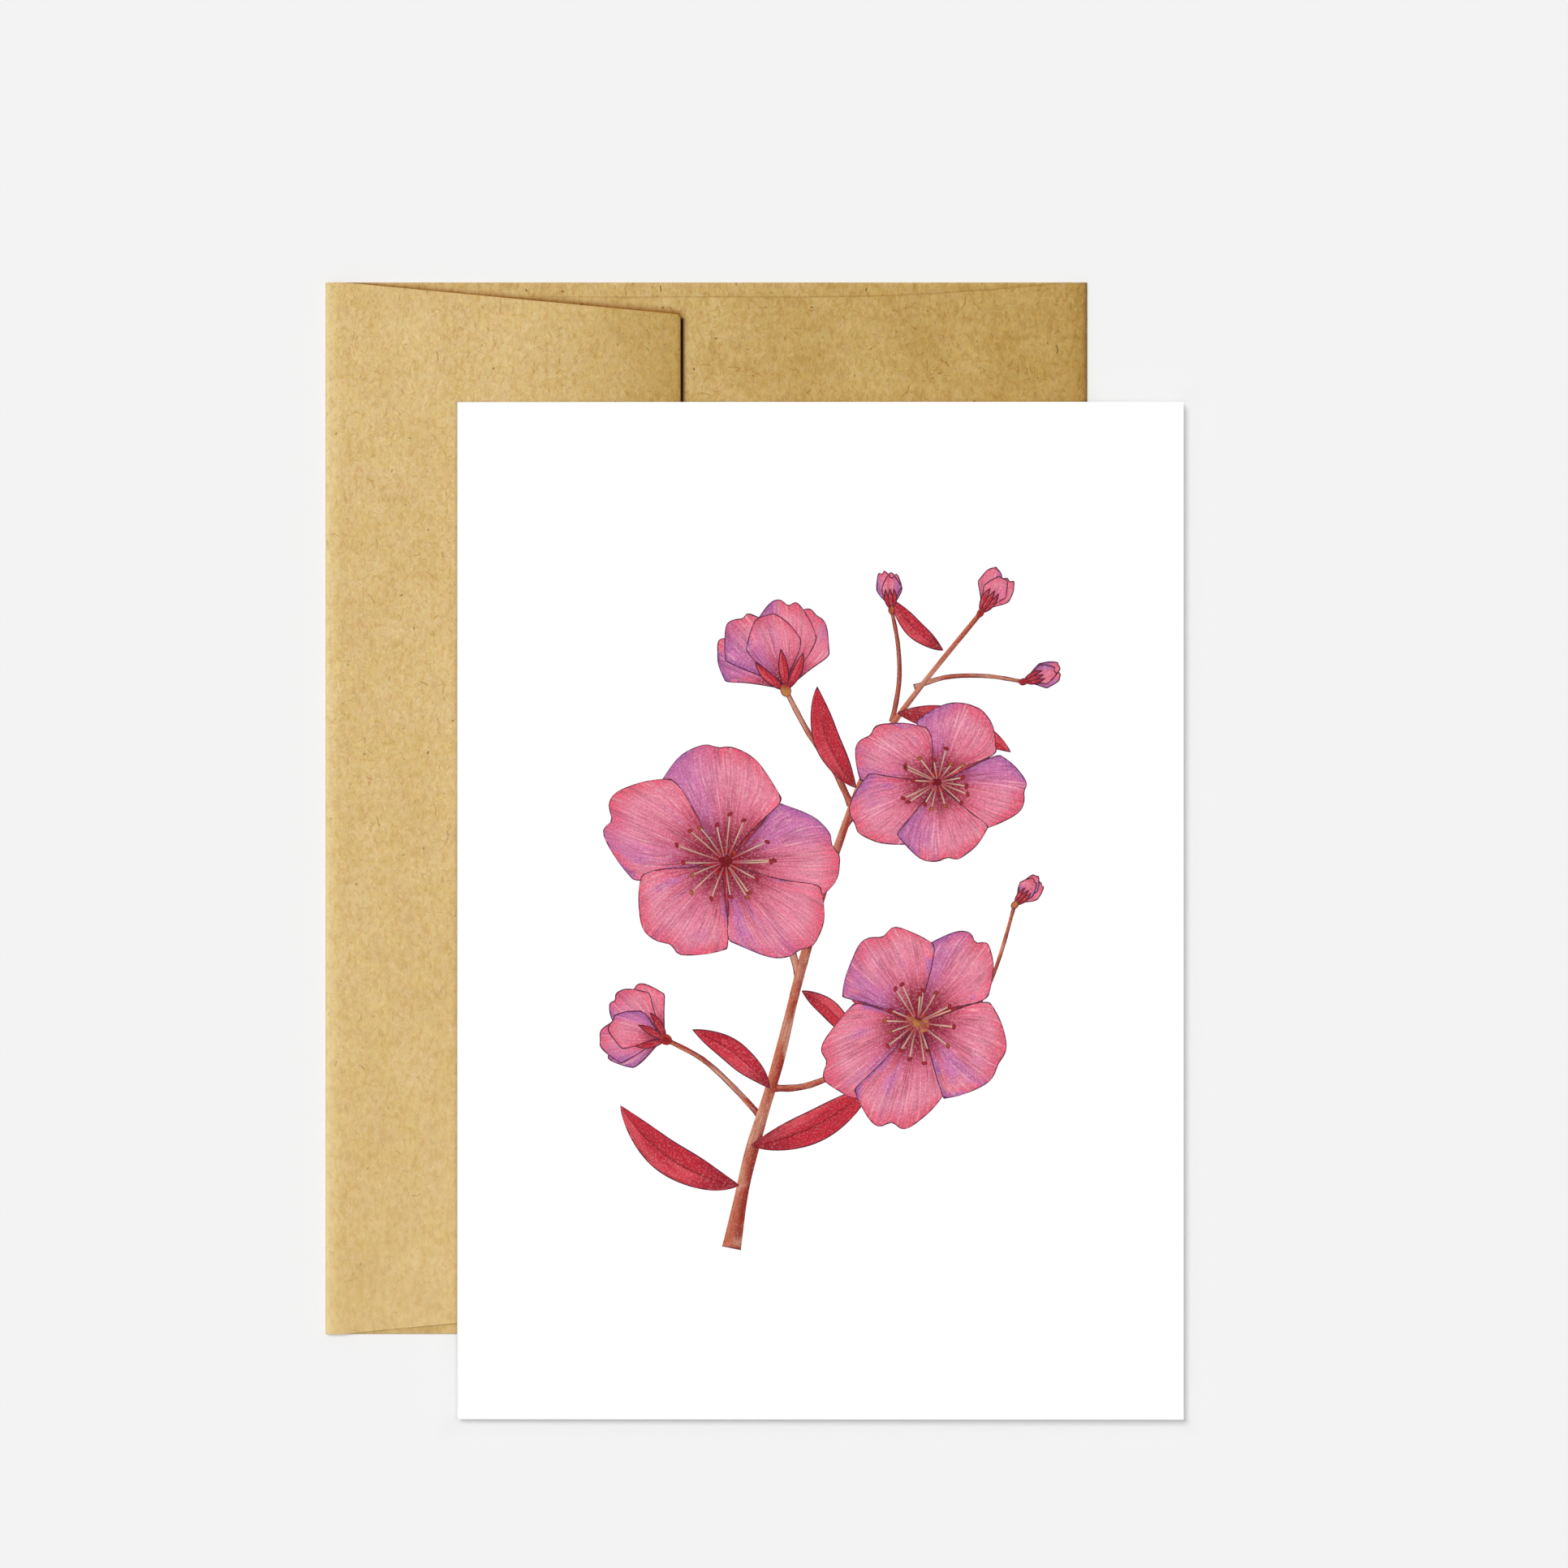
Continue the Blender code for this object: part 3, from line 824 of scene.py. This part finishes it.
spray = {
    # lengths in millimetres, places from the middle of the cover, directions in degrees
    "seed": 41,
    "film": 0.003,
    "firstLift": 0.004,
    "liftStep": 0.006,           # from each layer of film to the next
    "flowerLevel": 5,            # the layer that the petals begin on
    "weld": 0.004,               # points nearer than this become one
    "outlineSteps": 60,
    "petals": 5,
    "filaments": 17,
    "blossoms": [
        # middle, radius, turn, lean, lean's direction, hue
        ((-16.5, 8.5), 22.5, 14.0, 0.88, 60.0, 0.15),
        ((17.0, -19.5), 20.0, 50.0, 0.82, -35.0, 0.85),
        ((20.5, 22.5), 16.5, -8.0, 0.85, 100.0, 0.50),
    ],
    "cups": [
        # foot, direction, length, hue
        ((-6.0, 38.5), 103.0, 16.0, 0.62),
        ((-27.0, -22.5), 158.0, 12.0, 0.30),
    ],
    "buds": [
        # foot, direction, length
        ((28.0, 52.0), 58.0, 8.5),
        ((35.5, 40.0), 20.0, 7.0),
        ((12.5, 52.5), 96.0, 7.0),
        ((34.0, 1.0), 48.0, 6.5),
    ],
    "leaves": [
        # foot, direction at the foot, length, half width, how far it turns, hue
        ((-14.2, -48.0), 172.0, 25.0, 4.6, -52.0, 0.2),
        ((-12.0, -41.0), 8.0, 24.0, 4.4, 38.0, 0.7),
        ((-8.8, -31.0), 128.0, 17.0, 3.3, 30.0, 0.5),
        ((6.3, 21.5), 132.0, 19.0, 3.6, -42.0, 0.9),
        ((-3.2, -14.0), -28.0, 13.0, 2.6, -30.0, 0.4),
        ((13.5, 34.5), -2.0, 21.0, 3.8, -34.0, 0.1),
        ((21.5, 45.5), 150.0, 13.0, 2.5, -30.0, 0.6),
    ],
    "stems": [
        # points along the stem, half width at its foot and its tip
        (
            [
                (-15.5, -59.0), (-12.5, -44.0), (-7.5, -27.0), (-3.0, -9.0),
                (3.0, 11.0), (11.0, 30.0), (28.0, 52.0),
            ],
            1.25, 0.40,
        ),
        ([(-8.6, -31.0), (-2.0, -30.5), (8.0, -26.0), (17.0, -19.5)], 0.62, 0.45),
        ([(-3.6, -12.0), (-6.0, -4.0), (-10.5, 3.0), (-16.5, 8.5)], 0.66, 0.45),
        ([(4.3, 15.0), (8.0, 18.5), (13.0, 21.0), (20.5, 22.5)], 0.60, 0.42),
        ([(5.4, 18.5), (2.2, 25.0), (-2.0, 31.0), (-6.0, 38.5)], 0.58, 0.45),
        ([(-10.4, -36.0), (-15.0, -31.0), (-20.5, -26.0), (-27.0, -22.5)], 0.55, 0.42),
        ([(16.4, 39.0), (22.0, 40.8), (29.0, 41.0), (35.5, 40.0)], 0.45, 0.34),
        ([(12.6, 33.0), (13.8, 40.0), (13.6, 46.5), (12.5, 52.5)], 0.45, 0.34),
        ([(8.0, -26.0), (19.0, -28.0), (29.0, -14.0), (34.0, 1.0)], 0.42, 0.32),
    ],
}


def onCover(x, y, lift):
    across = (cardMiddle.x + x * mm - hinge.x) / math.cos(openAngle)
    return coverPlace(across, cardMiddle.y + y * mm, lift * mm)


class Film:
    # shapes of one colour, laid over each other as thin films that follow the cover
    def __init__(self, name):
        self.name, self.bm = name, bmesh.new()
        self.rim = self.bm.verts.layers.float.new("rim")
        self.hue = self.bm.verts.layers.float.new("hue")
        self.unit = self.bm.loops.layers.uv.new("unit")
        self.run = self.bm.loops.layers.uv.new("run")

    def lay(self, placeOf, columns, rows, long, wide, hue, level):
        # placeOf gives the place of a, 0 to 1 along the shape, and b, -1 to 1 across it
        lift = spray["firstLift"] + spray["liftStep"] * level
        finely = spray["outlineSteps"]
        steps = range(finely + 1)
        outline = [placeOf(i / finely, side) for i in steps for side in (-1, 1)]
        outline += [placeOf(end, i * 2 / finely - 1) for end in (1, 0) for i in steps]
        near = KDTree(len(outline))
        for i, (x, y) in enumerate(outline):
            near.insert((x, y, 0), i)
        near.balance()
        spot = {}
        for vertex, a, b in gridOf(self.bm, evenly(0, 1, 1 / columns), evenly(-1, 1, 2 / rows)):
            # rows and columns crowd towards the outline
            a = held(a - 0.5 * math.sin(2 * math.pi * a) / (2 * math.pi))
            b = math.sin(b * math.pi / 2) * 0.45 + b * 0.55
            x, y = placeOf(a, b)
            spot[vertex] = (a, b)
            vertex[self.rim] = near.find((x, y, 0))[2]
            vertex[self.hue] = hue
            vertex.co = onCover(x, y, lift)
        for face in {face for vertex in spot for face in vertex.link_faces}:
            for loop in face.loops:
                a, b = spot[loop.vert]
                loop[self.unit].uv = (a, b)
                loop[self.run].uv = (a * long + hue * 41, b * wide + hue * 67)
        bmesh.ops.remove_doubles(self.bm, verts=list(spot), dist=spray["weld"] * mm)

    def finish(self, material):
        thing = finishPiece(self.name, self.bm, material, spray["film"] * mm, 1.0)
        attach(thing, "cover")


def leant(x, y, lean, leanTo):
    # where a place comes to lie on a flower that is seen a little from the side
    c, s = arrow(leanTo)
    off = (x * c + y * s) * (lean - 1)
    return x + off * c, y + off * s


def petalShape(foot, direction, long, wide, dice, lean=1.0, leanTo=0.0):
    # broad and round tipped, its lines fanning out from a narrow foot
    notch, side = dice.uniform(0.01, 0.075), dice.uniform(-0.22, 0.22)
    sway, phase, ruffle = dice.uniform(-0.10, 0.10), dice.uniform(0, 6), dice.uniform(0.006, 0.016)
    c, s = arrow(direction)

    def placeOf(a, b):
        x = a * (1 - 0.38 * a * abs(b) ** 2.4) - notch * math.exp(-(((b - side) / 0.16) ** 2)) * a**6
        x = long * (x + ruffle * math.sin(9 * b + phase) * a**4 * (1 - b**4))
        y = wide * (math.sin(math.pi * 0.54 * a**1.12) * b + 0.02 * math.sin(8 * a + phase) * b)
        y += sway * long * a * a
        x, y = leant(x * c - y * s, x * s + y * c, lean, leanTo)
        return foot[0] + x, foot[1] + y

    return placeOf


def leafShape(foot, direction, long, wide, turn, dice):
    # pointed at both ends, and curved
    wave, phase = dice.uniform(0.02, 0.05), dice.uniform(0, 6)

    def placeOf(a, b):
        c, s = arrow(direction + turn * a / 2)
        upC, upS = arrow(direction + turn * a + 90)
        half = wide * (a + 0.004) ** 0.85 * (1 - a) ** 0.9 / 0.46
        half *= 1 + wave * math.sin(11 * a + phase) * (1 if b > 0 else -1)
        return foot[0] + long * a * c + half * b * upC, foot[1] + long * a * s + half * b * upS

    return placeOf


def stripShape(points, footHalf, tipHalf):
    # a stem along a smooth line through the points
    def onLine(t):
        spans = len(points) - 1
        i = min(int(t * spans), spans - 1)
        local = t * spans - i
        p = [Vector(points[held(i + k, 0, spans)]) for k in (-1, 0, 1, 2)]
        return 0.5 * (
            2 * p[1] + (p[2] - p[0]) * local + (2 * p[0] - 5 * p[1] + 4 * p[2] - p[3]) * local**2
            + (3 * p[1] - p[0] - 3 * p[2] + p[3]) * local**3
        )

    def placeOf(a, b):
        here, ahead = onLine(min(a, 0.999)), onLine(min(a, 0.999) + 0.001)
        along = (ahead - here).normalized()
        half = footHalf + (tipHalf - footHalf) * a
        half *= 1 + 0.35 * math.exp(-a * 16) + 0.06 * math.sin(a * 40)
        return here.x - along.y * half * b, here.y + along.x * half * b

    return placeOf


def discShape(middle, long, wide, direction):
    c, s = arrow(direction)

    def placeOf(a, b):
        x = (a - 0.5) * 2
        y = b * math.sqrt(max(1 - x * x, 0.0)) * wide
        x *= long
        return middle[0] + x * c - y * s, middle[1] + x * s + y * c

    return placeOf


def layLeaf(films, dice, foot, direction, long, wide, turn, columns, rows, hue, level):
    shape = leafShape(foot, direction, long, wide, turn, dice)
    films["Leaves"].lay(shape, columns, rows, long, wide, hue, level)


def drawBlossom(films, dice, middle, radius, turn, lean, leanTo, hue):
    count, filaments, level = spray["petals"], spray["filaments"], spray["flowerLevel"]
    for i in range(count):
        # dark sepals show in the gaps between the petals
        c, s = leant(*arrow(turn + 360 / count * (i + 0.5)), lean, leanTo)
        direction = math.degrees(math.atan2(s, c))
        layLeaf(films, dice, middle, direction, radius * 0.62, radius * 0.13, 0, 22, 8, hue, level - 1)
    for i in range(count):
        direction = turn + 360 / count * i + dice.uniform(-6, 6)
        long = radius * dice.uniform(0.93, 1.05)
        shape = petalShape(middle, direction, long, long * 0.47, dice, lean, leanTo)
        films["Petals"].lay(shape, 30, 26, long, long * 0.5, hue + i * 0.013, level + i)
    heart = radius * 0.115
    disc = discShape(middle, heart, heart * 0.9, leanTo)
    films["Hearts"].lay(disc, 14, 12, heart * 2, heart, hue, level + count)
    for i in range(filaments):
        direction = turn + 360 / filaments * i + dice.uniform(-8, 8)
        reach = radius * dice.uniform(0.26, 0.42)
        c, s = leant(*arrow(direction), lean, leanTo)
        bow = dice.uniform(-0.09, 0.09)
        points = [
            (middle[0] + reach * (c * t - s * bow * t * t), middle[1] + reach * (s * t + c * bow * t * t))
            for t in (0.15, 0.45, 0.75, 1.0)
        ]
        thread = stripShape(points, 0.13, 0.10)
        films["Threads"].lay(thread, 8, 3, reach, 0.2, hue + i * 0.02, level + count + 1 + i % 3)
        tip = discShape(points[-1], 0.52, 0.34, direction + dice.uniform(40, 140))
        films["Hearts"].lay(tip, 8, 7, 0.8, 0.4, hue + i * 0.05, level + count + 4)


def drawSpray(inks):
    dice = random.Random(spray["seed"])
    films = {kind: Film("print" + kind) for kind in inks}
    level = spray["flowerLevel"]
    for i, (points, foot, tip) in enumerate(reversed(spray["stems"])):
        # the main stem comes last, over the others
        over = int(i == len(spray["stems"]) - 1)
        long = sum((Vector(q) - Vector(p)).length for p, q in zip(points, points[1:]))
        films["Stems"].lay(stripShape(points, foot, tip), max(int(long), 12), 6, long, foot, i * 0.11, over)
    for i, (foot, direction, long, wide, turn, hue) in enumerate(spray["leaves"]):
        layLeaf(films, dice, foot, direction, long, wide, turn, 44, 16, hue, 2 + i % 2)
    for foot, direction, long, hue in spray["cups"]:
        # a half open flower, seen from its side
        for n, (aside, part) in enumerate(((-34, 0.92), (34, 0.90), (-15, 1.0), (16, 0.97), (0, 0.86))):
            shape = petalShape(foot, direction + aside, long * part, long * 0.36 * part, dice)
            films["Petals"].lay(shape, 30, 30, long * part, long * 0.4, hue + n * 0.02, level + n)
        for n, aside in enumerate((-50, 46, -8)):
            sizes = (long * 0.46, long * 0.085, -aside * 0.5)
            layLeaf(films, dice, foot, direction + aside, *sizes, 24, 10, hue, level + 6 + n)
        films["Hearts"].lay(discShape(foot, 1.15, 0.95, direction), 14, 12, 2.3, 1, hue, level + 9)
    for i, (foot, direction, long) in enumerate(spray["buds"]):
        for n, (aside, part) in enumerate(((-11, 0.95), (10, 1.0), (0, 0.88))):
            shape = petalShape(foot, direction + aside, long * part, long * 0.26, dice)
            films["Petals"].lay(shape, 24, 24, long, long * 0.3, i * 0.23 + n * 0.05, level + n)
        for n, aside in enumerate((-30, 28, -2)):
            sizes = (long * 0.56, long * 0.10, -aside * 1.3)
            layLeaf(films, dice, foot, direction + aside, *sizes, 20, 10, i * 0.3, level + 4 + n)
        films["Hearts"].lay(discShape(foot, 0.8, 0.62, direction), 12, 10, 1.6, 0.6, i * 0.2, level + 7)
    for blossom in spray["blossoms"]:
        drawBlossom(films, dice, *blossom)
    for kind, ink in inks.items():
        films[kind].finish(ink)


# The coloured pencil finish

inkTones = {
    "outline": (0.050, 0.012, 0.030),
    "petalFoot": (0.20, 0.004, 0.022),
    "petalLow": (0.49, 0.055, 0.115),
    "petalMid": (0.68, 0.160, 0.255),
    "petalHigh": (0.72, 0.225, 0.320),
    "petalTip": (0.66, 0.100, 0.170),
    "mauve": (0.50, 0.140, 0.350),
    "violet": (0.25, 0.080, 0.300),
    "rose": (0.72, 0.050, 0.105),
    "blush": (0.84, 0.420, 0.440),
    "leafDark": (0.20, 0.003, 0.008),
    "leafMid": (0.48, 0.014, 0.032),
    "leafLight": (0.62, 0.060, 0.085),
    "barkDark": (0.26, 0.020, 0.010),
    "barkLight": (0.54, 0.150, 0.080),
    "tan": (0.62, 0.330, 0.225),
    "cream": (0.80, 0.600, 0.420),
    "heartDark": (0.16, 0.003, 0.008),
    "heart": (0.42, 0.018, 0.020),
    "ochre": (0.62, 0.280, 0.070),
    "bare": (0.90, 0.80, 0.80),      # paper that shows through
    "grit": (0.55, 0.36, 0.42),      # what the tooth's hollows leave of a colour
}


def buildPencilWork():
    # strokes along a shape: its own lines, its drawn outline and the paper's tooth
    group, given = newGroup("pencilWork", Run="Vector", Rim="Float", Fineness="Float")
    run, place = given["Run"], objectPlace(group)

    def strokes(along, across, shift, detail=2.0):
        moved = run.mapped((along, across, 1), (shift, shift * 1.7, 0))
        return moved.noise(given["Fineness"], detail, 0.55, 0.15)

    tooth = place.noise(3.4, 3.0, 0.75)
    gate = run.mapped((0.16, 0.30, 1), (9, 4, 0)).noise(1.0, 2.0)
    dark = strokes(0.09, 3.0, 19.0).span(0.51, 0.61) * gate.span(0.40, 0.60)
    wobble = place.noise(0.9, 3.0, 0.6) * 0.30
    looks = {
        "Strokes": strokes(0.11, 2.1, 3.1, 3.0),
        "Dark": dark * tooth.span(0.34, 0.50),
        "Light": strokes(0.13, 1.5, 37.0).span(0.56, 0.68) * gate.span(0.62, 0.42),
        "Outline": (given["Rim"] - wobble).span(0.12, -0.02) * tooth.span(0.30, 0.46),
        "Tooth": tooth,
        "Wash": run.mapped((0.10, 0.22, 1), (1, 8, 0)).noise(1.0, 3.0, 0.55),
    }
    return closeGroup(group, looks)


class Ink:
    # one pencil's material, and where a place lies on the shape that it fills
    def __init__(self, name, pencil, fineness):
        self.material, self.tree, self.shader = newMaterial(name, (0.6, 0.2, 0.3), 0.70, 0.08)
        run, unit = [outOf(self.tree, "UVMap", output="UV", uv_map=layer) for layer in ("run", "unit")]
        self.along, self.across = unit.parts()[:2]
        self.rim = self.layer("rim")
        self.work = useGroup(self.tree, pencil, {"Run": run, "Rim": self.rim, "Fineness": fineness})

    def layer(self, name):
        return outOf(self.tree, "Attribute", output="Fac", attribute_name=name)

    def ramp(self, value, stops):
        made = addNode(self.tree, "ValToRGB", {0: value})
        band = made.color_ramp
        for position, name in stops[1:-1]:
            band.elements.new(position)
        for element, (position, name) in zip(band.elements, stops):
            element.position = position
            element.color = (*inkTones[name], 1)
        return Value(self.tree, made.outputs["Color"])

    def finish(self, colour, layers, outline, coverage):
        # colours over each other, then strokes, the paper's tooth and the drawn outline
        for amount, name in layers:
            colour = colour.mixed(amount, inkTones[name])
        tooth = self.work["Tooth"]
        grey = self.work["Strokes"].span(0.28, 0.72).times(0.34, 0.83)
        colour = colour.tinted(colourOf(grey, grey, grey))
        colour = colour.mixed(tooth.span(0.50, 0.72, 0.0, 1.0 - coverage), inkTones["bare"])
        colour = colour.tinted(inkTones["grit"], tooth.span(0.50, 0.26, 0.0, 0.75))
        colour = colour.mixed(self.work["Outline"] * outline, inkTones["outline"])
        colour.into(self.shader, "Base Color")
        tooth.span(0.3, 0.7, 0.58, 0.74).into(self.shader, "Roughness")
        addBump(self.shader, tooth, 0.2, 0.00002)
        return self.material


def petalInk(pencil):
    ink = Ink("petalInk", pencil, 1.0)
    along, across, rim, work = ink.along, ink.across, ink.rim, ink.work
    stops = [
        (0.0, "petalFoot"), (0.22, "petalLow"), (0.50, "petalMid"), (0.78, "petalHigh"), (1.0, "petalTip"),
    ]
    colour = ink.ramp(work["Wash"].times(0.30, along - 0.15), stops)
    # mauve down one side of each petal, more in some blossoms than in others
    swing = (ink.layer("hue").times(7.3, work["Wash"]) * 5.0).maths("SINE")
    sided = across.times(swing, work["Wash"] * 0.9)
    # dark strokes fan out of the foot
    rays = work["Strokes"].times(-0.62, along.straight(0.0, 0.7, 0.0, 0.6))
    layers = [
        (rim.span(3.2, 0.0) * work["Strokes"].span(0.40, 0.62) * 0.62, "rose"),
        (sided.span(0.35, 1.05) * along.span(0.05, 0.45) * 0.85, "mauve"),
        (rim.span(1.5, 0.1) * sided.span(0.55, 1.0) * 0.55, "violet"),
        (work["Light"] * 0.55, "blush"),
        (work["Dark"] * along.span(0.90, 0.10, 0.45, 1.0) * 0.80, "heartDark"),
        (rays.span(0.08, -0.20, 0.0, 0.92), "petalFoot"),
        (abs(across).span(0.10, 0.0) * along.span(0.75, 0.1) * 0.30, "petalFoot"),
    ]
    return ink.finish(colour, layers, 0.95, 0.72)


def leafInk(pencil):
    ink = Ink("leafInk", pencil, 1.25)
    along, aside, work = ink.along, abs(ink.across), ink.work
    colour = ink.across.span(-0.15, 0.15).between(inkTones["leafMid"], inkTones["leafLight"])
    # slanting veins
    veins = abs((aside.times(-0.16, along) * 34.0).maths("SINE"))
    layers = [
        (work["Wash"].span(0.40, 0.62), "leafMid"),
        (veins.span(0.16, 0.0) * aside.span(1.0, 0.5) * 0.40, "leafDark"),
        (aside.span(0.10, 0.02) * 0.75, "leafDark"),
        (along.span(0.40, 0.0, 0.0, 0.75), "leafDark"),
        (work["Dark"] * 0.60, "heartDark"),
        (work["Light"] * 0.40, "petalLow"),
    ]
    return ink.finish(colour, layers, 0.92, 0.80)


def stemInk(pencil):
    ink = Ink("stemInk", pencil, 1.8)
    colour = ink.across.span(-0.8, 0.9).between(inkTones["barkDark"], inkTones["barkLight"])
    layers = [(ink.work["Wash"].span(0.46, 0.62) * 0.6, "tan"), (ink.work["Dark"] * 0.65, "heartDark")]
    return ink.finish(colour, layers, 0.75, 0.84)


def heartInk(pencil):
    ink = Ink("heartInk", pencil, 2.0)
    colour = ink.rim.span(0.0, 0.9).between(inkTones["heart"], inkTones["heartDark"])
    return ink.finish(colour, [(ink.work["Wash"].span(0.50, 0.62, 0.0, 0.6), "ochre")], 0.60, 0.96)


def threadInk(pencil):
    ink = Ink("threadInk", pencil, 1.5)
    colour = ink.along.span(0.0, 0.7).between(inkTones["petalLow"], inkTones["cream"])
    return ink.finish(colour, [(ink.work["Wash"].span(0.45, 0.60, 0.0, 0.5), "tan")], 0.35, 0.96)


# The floor, the light and the camera

studio = {
    "frameWide": 274.2 * mm,         # what the photograph's frame spans at the card
    "lookAt": (5.22 * mm, 11.6 * mm),
    "lens": 150.0,
    "sensor": 36.0,
    "floorSize": 60.0,
    "floorDrop": 0.02 * mm,
    "floorTone": (0.80, 0.80, 0.80),
    "floorShade": (0.17, 0.9),       # beside the card: how much it takes, and its reach in millimetres
    "floorHaze": (0.045, 4.5),       # the same, of the faint shade around that
    "dome": 0.215,
    "horizon": 0.90,                 # how pale the room looks beyond the floor
    # name, strength, degrees across, degrees above the table, degrees from +X towards +Y
    "lamps": [
        ("overhead", 1.40, 6.0, 89.0, 128.0),
        ("softKey", 1.54, 22.0, 68.0, 128.0),
    ],
}


def buildFloor():
    bm = bmesh.new()
    bmesh.ops.create_grid(bm, x_segments=2, y_segments=2, size=studio["floorSize"] / 2)
    bmesh.ops.translate(bm, verts=bm.verts, vec=(0, 0, -studio["floorDrop"]))
    floor = meshObject("floor", bm)
    made, tree, shader = newMaterial("paleFloor", studio["floorTone"], 0.9, 0.1)
    (deep, near), (faint, far) = studio["floorShade"], studio["floorHaze"]
    outside = outsideCard(*objectPlace(tree).parts()[:2])
    close = outside.straight(near, 0.0)
    left = (close * close).times(-deep, 1.0) * outside.span(far, 0.0, 1.0, 1.0 - faint)
    left.between((0, 0, 0), studio["floorTone"]).into(shader, "Base Color")
    floor.data.materials.append(made)


def buildLights():
    world = bpy.data.worlds.new("paleRoom")
    world.use_nodes = True
    room = world.node_tree.nodes["Background"]
    room.inputs["Color"].default_value = (1, 1, 1, 1)
    seen = outOf(world.node_tree, "LightPath", output="Is Camera Ray")
    seen.straight(0.0, 1.0, studio["dome"], studio["horizon"]).into(room, "Strength")
    bpy.context.scene.world = world
    for name, strength, across, height, turn in studio["lamps"]:
        lamp = bpy.data.lights.new(name, "SUN")
        lamp.energy = strength
        lamp.angle = math.radians(across)
        (c, s), (level, up) = arrow(turn), arrow(height)
        sun = newObject(name, lamp)
        sun.location = (c * level, s * level, up)
        sun.rotation_euler = sun.location.to_track_quat("Z", "Y").to_euler()


def buildCamera():
    lens = bpy.data.cameras.new("lookingDown")
    lens.lens = studio["lens"]
    lens.sensor_width = studio["sensor"]
    lens.clip_start = 0.01
    camera = newObject("lookingDown", lens)
    distance = studio["frameWide"] * studio["lens"] / studio["sensor"]
    camera.location = (*studio["lookAt"], coverLow.z + distance)
    bpy.context.scene.camera = camera


def build():
    bpy.context.scene.view_settings.view_transform = "Standard"
    buildCamera()
    buildFloor()
    buildLights()
    print("studio ready")
    buildEnvelopeSheet(kraftMaterial(buildKraftFibre(buildFibreScatter())))
    print("envelope folded")
    buildCardSheet(stockMaterial())
    print("card folded")
    pencil = buildPencilWork()
    inks = {
        "Stems": stemInk, "Leaves": leafInk, "Petals": petalInk, "Hearts": heartInk, "Threads": threadInk,
    }
    drawSpray({kind: ink(pencil) for kind, ink in inks.items()})
    print("cover printed")
    gum, glue = glueMaterial("driedGum", brushed), glueMaterial("seamGlue", blobbed)
    dried = {"envelope_gum_strip": gum, "seam_glue_upper": glue, "seam_glue_lower": glue}
    for name, material in dried.items():
        slots = frame["nodes"][name].data.materials
        slots.clear()
        slots.append(material)
    print("gum and glue finished")


build()
